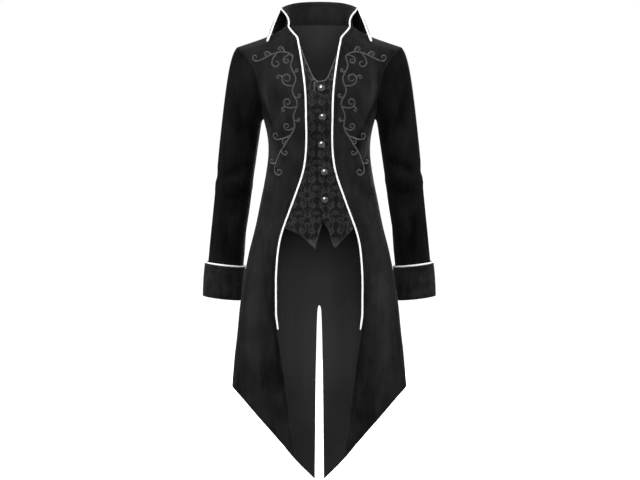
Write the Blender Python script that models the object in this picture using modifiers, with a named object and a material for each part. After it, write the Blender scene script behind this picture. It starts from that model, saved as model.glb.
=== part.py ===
"""A steampunk tailcoat, worn and hollow, as the cloth pieces that a tailor cuts and sews.

Metres. +X is the wearer's left, -Y the front and +Z up. The origin is on the wearer's axis,
level with the neck ends of the shoulder seams, where the coat hangs on its wearer.
The right side mirrors the left, apart from the waistcoat, whose left front laps over the right.
"""

from math import acos, asin, cos, pi, radians, sin

import bmesh
import bpy
from mathutils import Vector

# Thicknesses and small sizes
CLOTH = 0.0020
WAISTCOAT_CLOTH = 0.0015
COLLAR_CLOTH = 0.0022
CUFF_CLOTH = 0.0022
SEAM = 0.0003
PIPING_RADIUS = 0.0022
PIPING_ROUNDNESS = 1
FLAT_ENOUGH = radians(50)
WELD = 0.00001

# Heights of the features that the pieces share: the centre back seam ends just above the slit's blunt top
ARMPIT = -0.220
SEAM_FOOT = -0.696
SLIT_TOP = -0.700
PIPING_END = -0.735

# The levels of a panel's rows between the shoulder rows and the hem rows
LEVELS = [
    -0.050, -0.075, -0.100, -0.130, -0.160, -0.185, -0.205, -0.216, ARMPIT, -0.250, -0.280,
    -0.315, -0.350, -0.385, -0.420, -0.450, -0.480, -0.510, -0.550, -0.600, -0.650,
    SEAM_FOOT, SLIT_TOP, PIPING_END, -0.790,
]  # fmt: skip
CHEST_TOP, SKIRT_TOP = LEVELS[0], LEVELS[-1]

# How many columns and rows each other stretch of a panel has
NECK_BACK_COLUMNS = 6
SHOULDER_COLUMNS = 6
SHOULDER_ROWS = 3
HEM_ROWS = 5
HEM_TRIES = 12


def slope_at(keys, values, i):
    """The slope of the smooth curve at a listed key, and none where the values turn back."""
    if i in (0, len(keys) - 1):
        j = min(i, len(keys) - 2)
        return (values[j + 1] - values[j]) / (keys[j + 1] - keys[j])
    before = (values[i] - values[i - 1]) / (keys[i] - keys[i - 1])
    after = (values[i + 1] - values[i]) / (keys[i + 1] - keys[i])
    if before * after <= 0:
        return 0.0
    return 2 * before * after / (before + after)


def smooth(keys, values, key):
    """The value at key, on a smooth curve through the listed ones that doesn't overshoot them."""
    key = min(max(key, keys[0]), keys[-1])
    i = max(j for j in range(len(keys) - 1) if keys[j] <= key)
    width = keys[i + 1] - keys[i]
    t = (key - keys[i]) / width
    rise = slope_at(keys, values, i) * width
    end_rise = slope_at(keys, values, i + 1) * width
    start = values[i] * (1 + 2 * t) + rise * t
    end = values[i + 1] * (3 - 2 * t) + end_rise * (t - 1)
    return start * (1 - t) ** 2 + end * t**2


class Table:
    """Sizes with named columns, a row for each section, read smoothly by the first column."""

    def __init__(self, columns, rows):
        self.columns = columns.split()
        self.rows = sorted(rows)

    def at(self, name, key):
        """The named column's value at this key."""
        keys = [row[0] for row in self.rows]
        values = [row[self.columns.index(name)] for row in self.rows]
        return smooth(keys, values, key)


# The torso's outside: depths in front of and behind the axis, and the side seam
TORSO = Table(
    "z front back side seam_y",
    [
        (-0.050, 0.0740, 0.0985, 0.1600, 0.002),
        (-0.100, 0.0970, 0.1110, 0.1500, 0.002),
        (-0.160, 0.1130, 0.1140, 0.1430, 0.002),
        (-0.190, 0.1165, 0.1110, 0.1400, 0.002),
        (-0.220, 0.1165, 0.1060, 0.1385, 0.002),
        (-0.250, 0.1130, 0.0990, 0.1305, 0.002),
        (-0.295, 0.1060, 0.0910, 0.1255, 0.002),
        (-0.345, 0.1030, 0.0905, 0.1315, 0.001),
        (-0.390, 0.1055, 0.0960, 0.1395, -0.002),
        (-0.430, 0.1090, 0.1030, 0.1480, -0.006),
        (-0.470, 0.1130, 0.1100, 0.1555, -0.012),
        (-0.510, 0.1160, 0.1160, 0.1655, -0.020),
        (-0.550, 0.1190, 0.1200, 0.1770, -0.030),
        (-0.590, 0.1210, 0.1230, 0.1850, -0.038),
        (-0.670, 0.1230, 0.1260, 0.1975, -0.045),
        (-0.750, 0.1230, 0.1280, 0.2040, -0.045),
        (-0.880, 0.1210, 0.1310, 0.2160, -0.042),
        (-1.160, 0.1150, 0.1360, 0.2280, -0.038),
    ],
)

# Above the armpit: the half width that front or back would reach, and where the armhole cuts them
ARMHOLE = Table(
    "z front_reach front_y back_reach back_y",
    [
        (-0.220, 0.1385, 0.002, 0.1385, 0.002),
        (-0.214, 0.1410, -0.014, 0.1410, 0.018),
        (-0.200, 0.1475, -0.032, 0.1480, 0.039),
        (-0.180, 0.1580, -0.047, 0.1600, 0.058),
        (-0.155, 0.1690, -0.056, 0.1740, 0.068),
        (-0.125, 0.1790, -0.057, 0.1870, 0.070),
        (-0.095, 0.1880, -0.050, 0.1950, 0.063),
        (-0.070, 0.1950, -0.035, 0.1990, 0.050),
        (-0.050, 0.1990, -0.014, 0.2005, 0.028),
    ],
)

# Half the width between the coat's front edges
FRONT_EDGE = Table(
    "z x",
    [
        (-0.024, 0.0560),
        (-0.040, 0.0525),
        (-0.070, 0.0470),
        (-0.110, 0.0415),
        (-0.150, 0.0365),
        (-0.190, 0.0350),
        (-0.230, 0.0345),
        (-0.270, 0.0335),
        (-0.310, 0.0355),
        (-0.350, 0.0415),
        (-0.390, 0.0555),
        (-0.430, 0.0700),
        (-0.470, 0.0850),
        (-0.510, 0.0985),
        (-0.550, 0.1045),
        (-0.600, 0.1090),
        (-0.690, 0.1090),
        (-0.742, 0.1035),
        (-0.810, 0.0940),
        (-1.030, 0.0620),
        (-1.120, 0.0480),
    ],
)

# Half the width of the slit between the tails
SLIT = Table(
    "z x",
    [
        (-1.160, 0.0115),
        (-1.040, 0.0102),
        (-0.880, 0.0086),
        (-0.780, 0.0070),
        (SLIT_TOP, 0.0042),
        (SEAM_FOOT, SEAM / 2),
        (0.030, SEAM / 2),
    ],
)

# The hem's height by distance from the centre line, for the front and back panels
FRONT_HEM = Table(
    "x z",
    [
        (0.2200, -0.8760),
        (0.1950, -0.8980),
        (0.1600, -0.9360),
        (0.1100, -0.9920),
        (0.0600, -1.0480),
    ],
)
BACK_HEM = Table(
    "x z",
    [
        (0.2200, -0.8760),
        (0.1950, -0.9090),
        (0.1600, -0.9600),
        (0.1125, -1.0335),
        (0.0600, -1.1055),
        (0.0100, -1.1565),
    ],
)

# The neckline and shoulder seam of the wearer's left side. The collar starts at the front's notch
NECK_POINT = Vector((0.0840, 0.0020, 0.0100))
NECKLINE_FRONT = [
    Vector((0.0560, -0.0560, -0.0240)),
    Vector((0.0615, -0.0480, -0.0150)),
    Vector((0.0715, -0.0370, -0.0040)),
    Vector((0.0800, -0.0220, 0.0055)),
    Vector((0.0832, -0.0100, 0.0088)),
    NECK_POINT,
]
NECKLINE_BACK = [
    Vector((SEAM / 2, 0.0740, 0.0220)),
    Vector((0.0450, 0.0620, 0.0200)),
    Vector((0.0740, 0.0350, 0.0150)),
    NECK_POINT,
]
SHOULDER_SEAM = [
    NECK_POINT,
    Vector((0.1050, 0.0030, -0.0040)),
    Vector((0.1290, 0.0040, -0.0150)),
    Vector((0.1650, 0.0050, -0.0275)),
    Vector((0.2025, 0.0060, -0.0400)),
]
NOTCH_COLUMN = 3
# How far the shoulder curves over on its way down to the chest
ROOF_TURN = radians(60)

# Soft flutes in the skirt and tails: their number on each panel, and their depth
FLUTES = {"front": 1.5, "back": 2.5}
FLUTE_DEPTH = Table("z depth", [(-1.10, 0.0080), (-0.80, 0.0050), (-0.60, 0.0015), (-0.45, 0.0)])


def mix(a, b, share):
    """The value or point that lies this share of the way from a to b."""
    return a + (b - a) * share


def lengths_along(points):
    """The length along a line of points up to each of them."""
    lengths = [0.0]
    for a, b in zip(points, points[1:]):
        lengths.append(lengths[-1] + (b - a).length)
    return lengths


def through(points, count):
    """count + 1 points evenly along a smooth curve through the given ones."""
    keys = lengths_along(points)
    line = []
    for n in range(count + 1):
        length = keys[-1] * n / count
        line.append(Vector([smooth(keys, [p[k] for p in points], length) for k in range(3)]))
    return line


def outer_end(part, z):
    """Half the width that a torso row reaches, and how far round it the side seam or armhole lies."""
    if z <= ARMPIT:
        return TORSO.at("side", z), radians(90)
    seam_y = TORSO.at("seam_y", z)
    depth = abs(TORSO.at(part, z)) + (seam_y if part == "front" else -seam_y)
    return ARMHOLE.at(part + "_reach", z), acos(abs(ARMHOLE.at(part + "_y", z) - seam_y) / depth)


def angle_at(part, x, z):
    """How far round the torso row at height z a point lies, given its distance from the centre line."""
    return asin(max(-1.0, min(1.0, x / outer_end(part, z)[0])))


def torso_point(part, angle, z):
    """A point of the torso's outside, on the row at height z."""
    reach, turn = outer_end(part, z)
    toward = -1 if part == "front" else 1
    y = mix(TORSO.at("seam_y", z), toward * TORSO.at(part, z), cos(angle))
    flute = FLUTE_DEPTH.at("depth", z) * sin(pi * FLUTES[part] * (1 - angle / turn))
    return Vector((reach * sin(angle) + flute * sin(angle), y + toward * flute * cos(angle), z))


def inner_x(part, z):
    """Where a panel's row starts: at the coat's front edge, or at the centre back seam and slit."""
    return FRONT_EDGE.at("x", z) if part == "front" else SLIT.at("x", z)


def panel_row(part, heights):
    """A row of a panel, from its inner edge to its outer one, with the height of each column."""
    row = []
    for k, z in enumerate(heights):
        reach, turn = outer_end(part, z)
        start = angle_at(part, inner_x(part, z), z)
        end = turn if z > ARMPIT else turn - SEAM / reach
        row.append(torso_point(part, mix(start, end, k / (len(heights) - 1)), z))
    return row


def hem_height(part, share):
    """The hem's height on the column at this share of a panel's width."""
    hem = FRONT_HEM if part == "front" else BACK_HEM
    z = SKIRT_TOP
    for _ in range(HEM_TRIES):
        _, turn = outer_end(part, z)
        start = angle_at(part, inner_x(part, z), z)
        z = hem.at("z", torso_point(part, mix(start, turn, share), z).x)
    return z


def over_shoulder(seam, low, down, out):
    """A point between the shoulder seam and the chest, on a rounded roof."""
    return Vector((mix(seam.x, low.x, down), mix(seam.y, low.y, out), mix(seam.z, low.z, down)))


def body_panel(part):
    """The rows of points of the left front or back, from neckline and shoulder to hem."""
    neckline = NECKLINE_FRONT if part == "front" else through(NECKLINE_BACK, NECK_BACK_COLUMNS)
    half_seam = Vector((0, -SEAM / 2 if part == "front" else SEAM / 2, 0))
    top = neckline[:-1] + [p + half_seam for p in through(SHOULDER_SEAM, SHOULDER_COLUMNS)]
    chest = panel_row(part, [CHEST_TOP] * len(top))
    rows = []
    for n in range(SHOULDER_ROWS):
        down = n / SHOULDER_ROWS
        out = sin(ROOF_TURN * down) / sin(ROOF_TURN)
        rows.append([over_shoulder(seam, low, down, out) for seam, low in zip(top, chest)])
    rows += [panel_row(part, [z] * len(top)) for z in LEVELS]
    hem = [hem_height(part, k / (len(top) - 1)) for k in range(len(top))]
    for n in range(1, HEM_ROWS + 1):
        down = n / HEM_ROWS
        levels = [mix(SKIRT_TOP, z, down) for z in hem]
        rows.append(panel_row(part, levels))
    return rows


def normals(rows, closed=False):
    """The unit normal at each point of a grid, from its neighbours. Rows run down, columns round."""
    found = []
    last_row, count = len(rows) - 1, len(rows[0])
    for j, row in enumerate(rows):
        line = []
        for i in range(count):
            before, after = (i - 1, (i + 1) % count) if closed else (max(i - 1, 0), min(i + 1, count - 1))
            across = row[after] - row[before]
            down = rows[min(j + 1, last_row)][i] - rows[max(j - 1, 0)][i]
            line.append(down.cross(across).normalized())
        found.append(line)
    return found


def moved(rows, directions, distance):
    """The grid's points, each moved along its own direction."""
    return [[p + d * distance for p, d in zip(row, line)] for row, line in zip(rows, directions)]


def trimmed(rows, gap=SEAM / 2):
    """The grid with its first and last columns drawn in, which leaves a gap at the seams."""
    result = []
    for row in rows:
        first = row[0] + (row[1] - row[0]).normalized() * gap
        last = row[-1] + (row[-2] - row[-1]).normalized() * gap
        result.append([first, *row[1:-1], last])
    return result


def mirrored(rows):
    """The grid on the wearer's right side."""
    return [[Vector((-p.x, p.y, p.z)) for p in row] for row in rows]


def new_material(name, colour, roughness, metallic=0.0):
    """A material with one Principled shader."""
    material = bpy.data.materials.new(name)
    material.use_nodes = True
    shader = material.node_tree.nodes["Principled BSDF"]
    shader.inputs["Base Color"].default_value = (*colour, 1)
    shader.inputs["Roughness"].default_value = roughness
    shader.inputs["Metallic"].default_value = metallic
    material.diffuse_color = (*colour, 1)
    return material


def place(name, data, material):
    """A new object in the coat's collection, in the shared frame."""
    piece = bpy.data.objects.new(name, data)
    data.materials.append(material)
    COAT.objects.link(piece)
    return piece


def wall(name, outside, inside, material, closed=False):
    """A closed wall of cloth, lofted from row to row through two grids of unlike sections.

    Both grids are worked out beforehand, because walls that meet at a seam share their
    normals there, and so keep one gap through their whole thickness.
    """
    shape = bmesh.new()
    sides = [[[shape.verts.new(p) for p in row] for row in rows] for rows in (outside, inside)]
    count = len(outside[0])
    spans = range(count if closed else count - 1)
    for grid in sides:
        for upper, lower in zip(grid, grid[1:]):
            for i in spans:
                k = (i + 1) % count
                shape.faces.new((upper[i], upper[k], lower[k], lower[i]))
    out, back = sides
    for row in (0, -1):
        for i in spans:
            k = (i + 1) % count
            shape.faces.new((out[row][i], out[row][k], back[row][k], back[row][i]))
    if not closed:
        for column in (0, -1):
            for j in range(len(out) - 1):
                shape.faces.new(
                    (out[j][column], out[j + 1][column], back[j + 1][column], back[j][column])
                )
    bmesh.ops.recalc_face_normals(shape, faces=shape.faces)
    data = bpy.data.meshes.new(name)
    shape.to_mesh(data)
    shape.free()
    data.shade_smooth()
    data.set_sharp_from_angle(angle=FLAT_ENOUGH)
    return place(name, data, material)


def tube(name, points, material, closed=False):
    """A round cord through the points, with filled ends."""
    data = bpy.data.curves.new(name, "CURVE")
    data.dimensions = "3D"
    data.bevel_depth = PIPING_RADIUS
    data.bevel_resolution = PIPING_ROUNDNESS
    data.use_fill_caps = True
    line = data.splines.new("POLY")
    line.points.add(len(points) - 1)
    for spot, point in zip(line.points, points):
        spot.co = (*point, 1)
    line.use_cyclic_u = closed
    return place(name, data, material)


def make_body(cloth):
    """The two fronts and the two backs, each a wall from neckline and shoulder seam to hem."""
    front, back = body_panel("front"), body_panel("back")
    front_out = normals(front)
    back_out = [[-n for n in line] for line in normals(back)]
    for line in back_out:
        line[0].x = 0
        line[0].normalize()
    for j in range(SHOULDER_ROWS + LEVELS.index(ARMPIT), len(front)):
        front_out[j][-1] = back_out[j][-1] = (front_out[j][-1] + back_out[j][-1]).normalized()
    for k in range(1, SHOULDER_COLUMNS + 2):
        along = front[0][-k] - front[0][-k - 1]
        front_out[0][-k] = back_out[0][-k] = Vector((-along.z, 0, along.x)).normalized()
    inside_front, inside_back = moved(front, front_out, -CLOTH), moved(back, back_out, -CLOTH)
    for name, rows, inside in (("front", front, inside_front), ("back", back, inside_back)):
        wall(name + "_left", rows, inside, cloth)
        wall(name + "_right", mirrored(rows), mirrored(inside), cloth)
    return front, back, moved(front, front_out, -CLOTH / 2)


# The waistcoat's fronts: the neckline or lapping edge, and the outer edge hidden under the coat
WAISTCOAT_LEFT = Table(
    "z inner outer",
    [
        (-0.0500, 0.0470, 0.0800),
        (-0.0565, 0.0445, 0.0790),
        (-0.0750, 0.0374, 0.0760),
        (-0.1000, 0.0277, 0.0730),
        (-0.1190, 0.0212, 0.0710),
        (-0.1275, 0.0140, 0.0700),
        (-0.1320, -0.0130, 0.0690),
        (-0.1600, -0.0132, 0.0678),
        (-0.1850, -0.0125, 0.0668),
        (-0.2050, -0.0116, 0.0658),
        (-0.2200, -0.0110, 0.0650),
        (-0.2500, -0.0098, 0.0642),
        (-0.2800, -0.0085, 0.0640),
        (-0.3150, -0.0070, 0.0655),
        (-0.3500, -0.0053, 0.0715),
        (-0.3850, -0.0038, 0.0840),
        (-0.4200, -0.0026, 0.0965),
        (-0.4450, -0.0010, 0.1025),
        (-0.4700, 0.0075, 0.1010),
        (-0.4850, 0.0225, 0.0860),
        (-0.5000, 0.0262, 0.0705),
        (-0.5190, 0.0303, 0.0510),
        (-0.5330, 0.0385, 0.0400),
    ],
)
WAISTCOAT_RIGHT = Table(
    "z inner outer",
    [
        (-0.0500, 0.0425, 0.0800),
        (-0.0750, 0.0340, 0.0760),
        (-0.1000, 0.0227, 0.0730),
        (-0.1250, 0.0120, 0.0705),
        (-0.1350, -0.0120, 0.0690),
        (-0.1600, -0.0120, 0.0678),
        (-0.1850, -0.0120, 0.0668),
        (-0.2050, -0.0120, 0.0658),
        (-0.2200, -0.0120, 0.0650),
        (-0.2500, -0.0120, 0.0642),
        (-0.2800, -0.0120, 0.0640),
        (-0.3150, -0.0120, 0.0655),
        (-0.3500, -0.0120, 0.0715),
        (-0.3850, -0.0120, 0.0840),
        (-0.4200, -0.0120, 0.0965),
        (-0.4450, -0.0110, 0.1025),
        (-0.4700, -0.0080, 0.1010),
        (-0.4880, -0.0028, 0.0830),
        (-0.4975, 0.0002, 0.0500),
        (-0.5145, 0.0050, 0.0315),
        (-0.5355, 0.0102, 0.0118),
    ],
)
# The same on the coat front's shoulder rows, from the neckline down
WAISTCOAT_LEFT_SHOULDER = [(0.0610, 0.0745), (0.0540, 0.0770), (0.0505, 0.0790)]
WAISTCOAT_RIGHT_SHOULDER = [(0.0610, 0.0745), (0.0500, 0.0770), (0.0455, 0.0790)]
WAISTCOAT_COLUMNS = 7
UNDER_PIPING = CLOTH / 2 + PIPING_RADIUS + SEAM
PIPING_CLEARANCE = 0.008
SHOULDER_EASE = 0.0010
LAP = WAISTCOAT_CLOTH + 0.0006
LAPPED_FROM, LAPPED_TO = 0.020, 0.045


def share_of(value, start, end):
    """How far value has come from start to end, kept between 0 and 1."""
    return max(0.0, min(1.0, (value - start) / (end - start)))


def waistcoat_depth(x, z, outer, lap):
    """How far below the coat's outside it lies: clear of the piping, then close under the cloth."""
    clear = FRONT_EDGE.at("x", z) + PIPING_CLEARANCE
    sewn = share_of(x, clear, max(outer, clear + SEAM))
    lapped = share_of(x, LAPPED_TO, LAPPED_FROM)
    return mix(UNDER_PIPING, CLOTH + 2 * SEAM, sewn) + lap * lapped


def point_at(row, x):
    """The point of a row of points that lies this far from the centre line."""
    k = next((k for k in range(1, len(row)) if row[k].x >= x), len(row) - 1)
    return mix(row[k - 1], row[k], (x - row[k - 1].x) / (row[k].x - row[k - 1].x))


def waistcoat_front(coat_front, shoulder, sizes, lap):
    """The outer and inner points of one waistcoat front, as if on the wearer's left."""
    rows, depths = [], []
    for row, (inner, outer) in zip(coat_front, shoulder):
        xs = [mix(inner, outer, k / WAISTCOAT_COLUMNS) for k in range(WAISTCOAT_COLUMNS + 1)]
        rows.append([point_at(row, x) for x in xs])
        depths.append([waistcoat_depth(x, row[0].z, outer, SHOULDER_EASE) for x in xs])
    for z, inner, outer in reversed(sizes.rows):
        xs = [mix(inner, outer, k / WAISTCOAT_COLUMNS) for k in range(WAISTCOAT_COLUMNS + 1)]
        rows.append([torso_point("front", angle_at("front", x, z), z) for x in xs])
        depths.append([waistcoat_depth(x, z, outer, lap) for x in xs])
    out = normals(rows)
    outside = [
        [p - n * depth for p, n, depth in zip(*line)] for line in zip(rows, out, depths)
    ]
    return outside, moved(outside, out, -WAISTCOAT_CLOTH)


def make_waistcoat(front, brocade):
    """Two fronts of brocade behind the coat's front edges. The left one laps over the right."""
    outside, inside = waistcoat_front(front, WAISTCOAT_LEFT_SHOULDER, WAISTCOAT_LEFT, 0.0)
    wall("waistcoat_left", outside, inside, brocade)
    outside, inside = waistcoat_front(front, WAISTCOAT_RIGHT_SHOULDER, WAISTCOAT_RIGHT, LAP)
    wall("waistcoat_right", mirrored(outside), mirrored(inside), brocade)


# Domed shank buttons, from the highest
BUTTON_RADIUS = 0.0090
BUTTON_DOME = 0.0070
BUTTON_RIM = 0.0012
BUTTON_SHANK_RADIUS = 0.0030
BUTTON_SHANK = 0.0028
NEARBY = 0.01
BUTTONS = Table(
    "number x z",
    [
        (1, 0.0045, -0.1480),
        (2, 0.0075, -0.2170),
        (3, 0.0055, -0.2830),
        (4, 0.0120, -0.3500),
        (5, 0.0130, -0.4170),
    ],
)
BUTTON_STEPS = 14
DOME_STEPS = 4


def button_profile():
    """Half the button's outline, from the top of the dome to the shank's foot."""
    points = [(0.0, BUTTON_SHANK + BUTTON_RIM + BUTTON_DOME)]
    for n in range(1, DOME_STEPS + 1):
        turn = radians(90) * n / DOME_STEPS
        points.append((BUTTON_RADIUS * sin(turn), BUTTON_SHANK + BUTTON_RIM + BUTTON_DOME * cos(turn)))
    points.append((BUTTON_RADIUS - BUTTON_RIM, BUTTON_SHANK))
    points.append((BUTTON_SHANK_RADIUS, BUTTON_SHANK))
    points.append((BUTTON_SHANK_RADIUS, 0.0))
    points.append((0.0, 0.0))
    return points


def turned(name, profile, metal):
    """A closed profile of radius and height, turned about its axis."""
    data = bpy.data.meshes.new(name)
    edges = [(n, n + 1) for n in range(len(profile) - 1)]
    data.from_pydata([(radius, 0, height) for radius, height in profile], edges, [])
    piece = place(name, data, metal)
    turn = piece.modifiers.new("Turn", "SCREW")
    turn.steps = turn.render_steps = BUTTON_STEPS
    turn.use_merge_vertices = True
    turn.merge_threshold = WELD
    turn.use_smooth_shade = True
    return piece


def make_buttons(metal):
    """Five domed buttons down the lapping edge, each square to the waistcoat."""
    for number, x, z in BUTTONS.rows:
        spot = torso_point("front", angle_at("front", x, z), z)
        above = torso_point("front", angle_at("front", x, z + NEARBY), z + NEARBY)
        beside = torso_point("front", angle_at("front", x + NEARBY, z), z)
        out = (spot - above).cross(beside - spot).normalized()
        button = turned("button_%d" % number, button_profile(), metal)
        button.rotation_mode = "QUATERNION"
        button.rotation_quaternion = out.to_track_quat("Z", "Y")
        button.location = spot + out * (SEAM - UNDER_PIPING)


# The left sleeve below its cap: the middle of each ring and its half width and half depth
SLEEVE = Table(
    "z x y wide deep",
    [
        (-0.250, 0.1965, 0.006, 0.0485, 0.0560),
        (-0.310, 0.2045, 0.012, 0.0475, 0.0530),
        (-0.370, 0.2120, 0.018, 0.0460, 0.0500),
        (-0.430, 0.2190, 0.023, 0.0455, 0.0490),
        (-0.490, 0.2260, 0.028, 0.0450, 0.0480),
        (-0.550, 0.2330, 0.032, 0.0450, 0.0470),
        (-0.600, 0.2380, 0.035, 0.0445, 0.0460),
        (-0.664, 0.2425, 0.037, 0.0460, 0.0455),
    ],
)
SLEEVE_RINGS = [-0.290, -0.340, -0.395, -0.450, -0.510, -0.570, -0.620, -0.662]
RING_TILT = 0.115
# The cap leaves the armhole sideways, reaches out and drops into the first ring
CAP_END = -0.250
CAP_STEPS = [0.0, 0.10, 0.24, 0.40, 0.58, 0.78, 1.0]
CAP_REACH_TOP, CAP_REACH_UNDER = 0.020, 0.004
CAP_DROP_TOP, CAP_DROP_UNDER = 0.100, 0.012
UNDER_SLEEVE_ROW = 7


def sleeve_ring_point(turn, z, sizes=SLEEVE):
    """A point of the ring whose middle is at height z: turn 0 is outermost, and 90 degrees the front."""
    wide, deep = sizes.at("wide", z), sizes.at("deep", z)
    return Vector(
        (
            sizes.at("x", z) + wide * cos(turn),
            sizes.at("y", z) - deep * sin(turn),
            z + RING_TILT * wide * cos(turn),
        )
    )


def bezier(a, b, c, d, t):
    """The point at t on the Bezier curve from a to d that b and c guide."""
    return a * (1 - t) ** 3 + b * 3 * t * (1 - t) ** 2 + c * 3 * t**2 * (1 - t) + d * t**3


def armhole(front, back):
    """The armhole's points, down its front and up its back, with the turn of each about the sleeve."""
    rows_down = SHOULDER_ROWS + LEVELS.index(ARMPIT) + 1
    down = [row[-1] for row in front[:rows_down]]
    up = [row[-1] for row in back[:rows_down]]
    turns_down = [pi * length / lengths_along(down)[-1] for length in lengths_along(down)]
    turns_up = [-pi * length / lengths_along(up)[-1] for length in lengths_along(up)]
    return down + up[-2:0:-1], turns_down + turns_up[-2:0:-1]


def sleeve_rows(points, turns):
    """The rows of points of the whole left sleeve, from the armhole to the wrist."""
    rows = []
    for t in CAP_STEPS:
        row = []
        for point, turn in zip(points, turns):
            high = (1 + cos(turn)) / 2
            start = point + Vector((2 * SEAM, 0, 0))
            out = Vector((mix(CAP_REACH_UNDER, CAP_REACH_TOP, high), 0, 0))
            end = sleeve_ring_point(turn, CAP_END)
            up = (end - sleeve_ring_point(turn, SLEEVE_RINGS[0])).normalized()
            drop = up * mix(CAP_DROP_UNDER, CAP_DROP_TOP, high)
            row.append(bezier(start, start + out, end + drop, end, t))
        rows.append(row)
    return rows + [[sleeve_ring_point(turn, z) for turn in turns] for z in SLEEVE_RINGS]


def make_sleeves(front, back, cloth):
    """A top sleeve and an under sleeve on each side, which meet at the front and back seams."""
    points, turns = armhole(front, back)
    rows = sleeve_rows(points, turns)
    out = [[-n for n in line] for line in normals(rows, closed=True)]
    inside = moved(rows, out, -CLOTH)
    count = len(points)
    lowest = turns.index(pi)
    first, last = UNDER_SLEEVE_ROW, 2 * lowest - UNDER_SLEEVE_ROW
    under = [*range(first, last + 1)]
    top = [*range(last, count), *range(first + 1)]
    for name, columns in (("sleeve_top", top), ("sleeve_under", under)):
        outer = trimmed([[row[i] for i in columns] for row in rows])
        inner = trimmed([[row[i] for i in columns] for row in inside])
        wall(name + "_left", outer, inner, cloth)
        wall(name + "_right", mirrored(outer), mirrored(inner), cloth)


# The turned-back cuff round the sleeve's end
CUFF = Table(
    "z x y wide deep",
    [
        (-0.585, 0.2375, 0.0346, 0.0520, 0.0520),
        (-0.620, 0.2410, 0.0360, 0.0525, 0.0510),
        (-0.668, 0.2440, 0.0375, 0.0515, 0.0490),
    ],
)
CUFF_ROWS = [-0.585, -0.612, -0.640, -0.668]
CUFF_COLUMNS = 28


def make_cuffs(cloth, white):
    """A deep turned-back cuff round each wrist, with piping on its upper edge."""
    turns = [2 * pi * k / CUFF_COLUMNS for k in range(CUFF_COLUMNS)]
    rows = [[sleeve_ring_point(turn, z, CUFF) for turn in turns] for z in CUFF_ROWS]
    out = [[-n for n in line] for line in normals(rows, closed=True)]
    inside = moved(rows, out, -CUFF_CLOTH)
    wall("cuff_left", rows, inside, cloth, closed=True)
    wall("cuff_right", mirrored(rows), mirrored(inside), cloth, closed=True)
    edge = [(a + b) / 2 + Vector((0, 0, PIPING_RADIUS + SEAM)) for a, b in zip(rows[0], inside[0])]
    tube("piping_cuff_left", edge, white, closed=True)
    tube("piping_cuff_right", mirrored([edge])[0], white, closed=True)


# The collar by share of the way from its front end to the centre back: fold line and fall's edge
COLLAR = Table(
    "share fold_x fold_y fold_z edge_x edge_y edge_z bow bulge",
    [
        (0.0, 0.0920, -0.020, 0.0520, 0.1290, -0.026, -0.0210, 0.0110, 0.0),
        (0.1, 0.0910, -0.006, 0.0545, 0.1260, -0.004, -0.0080, 0.0080, 0.0020),
        (0.2, 0.0885, 0.009, 0.0575, 0.1205, 0.018, -0.0060, 0.0050, 0.0040),
        (0.4, 0.0810, 0.038, 0.0650, 0.1060, 0.056, -0.0060, 0.0030, 0.0070),
        (0.6, 0.0660, 0.064, 0.0730, 0.0820, 0.084, -0.0050, 0.0030, 0.0080),
        (0.8, 0.0410, 0.081, 0.0790, 0.0450, 0.098, -0.0040, 0.0030, 0.0070),
        (1.0, 0.0, 0.087, 0.0810, 0.0, 0.102, -0.0030, 0.0030, 0.0060),
    ],
)
NECK_MIDDLE = Vector((0, 0.030, 0))
FOLD_RADIUS = 0.0030
STAND_STEPS, FOLD_STEPS, FALL_STEPS = 4, 4, 5


def collar_section(seam_point, share):
    """The collar's line from its seam up the stand, over the fold and down the fall."""
    fold = Vector([COLLAR.at("fold_" + axis, share) for axis in "xyz"])
    edge = Vector([COLLAR.at("edge_" + axis, share) for axis in "xyz"])
    up = Vector((0, 0, 1))
    away = fold - NECK_MIDDLE
    away.z = 0
    away.normalize()
    foot = seam_point + up * SEAM
    head = fold - up * FOLD_RADIUS
    line = []
    for n in range(STAND_STEPS):
        t = n / STAND_STEPS
        line.append(mix(foot, head, t) - away * (COLLAR.at("bow", share) * 4 * t * (1 - t)))
    middle = head + away * FOLD_RADIUS
    for n in range(FOLD_STEPS + 1):
        turn = pi * n / FOLD_STEPS
        line.append(middle - away * (FOLD_RADIUS * cos(turn)) + up * (FOLD_RADIUS * sin(turn)))
    start = line[-1]
    for n in range(1, FALL_STEPS + 1):
        t = n / FALL_STEPS
        line.append(mix(start, edge, t) + away * (COLLAR.at("bulge", share) * 4 * t * (1 - t)))
    return line


def collar_grid(front, back):
    """The collar's sections from the left front end round the neck to the right one, as columns."""
    neck = front[0][NOTCH_COLUMN : len(NECKLINE_FRONT)] + back[0][NECK_BACK_COLUMNS - 1 :: -1]
    neck[-1] = Vector((0, neck[-1].y, neck[-1].z))
    lengths = lengths_along(neck)
    half = [collar_section(p, length / lengths[-1]) for p, length in zip(neck, lengths)]
    columns = half + mirrored(half)[-2::-1]
    return [list(row) for row in zip(*columns)]


def make_collar(front, back, cloth):
    """A high stand with a deep fall folded down over it."""
    rows = collar_grid(front, back)
    out = normals(rows)
    half = COLLAR_CLOTH / 2
    wall("collar", moved(rows, out, half), moved(rows, out, -half), cloth)
    return rows


# Where the fronts' piping turns at the corner and stops at the notch, and where the collar's starts
CORNER_REACH = 0.75
PIPING_STOP = 0.8
PIPING_START = 0.45


def beyond(edge, inner, reach=PIPING_RADIUS + SEAM):
    """A cord's points along an edge: each of the edge's, moved squarely away from the cloth."""
    line = []
    for k, (point, next_in) in enumerate(zip(edge, inner)):
        along = (edge[min(k + 1, len(edge) - 1)] - edge[max(k - 1, 0)]).normalized()
        away = point - next_in
        away -= along * away.dot(along)
        line.append(point + away.normalized() * reach)
    return line


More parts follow.
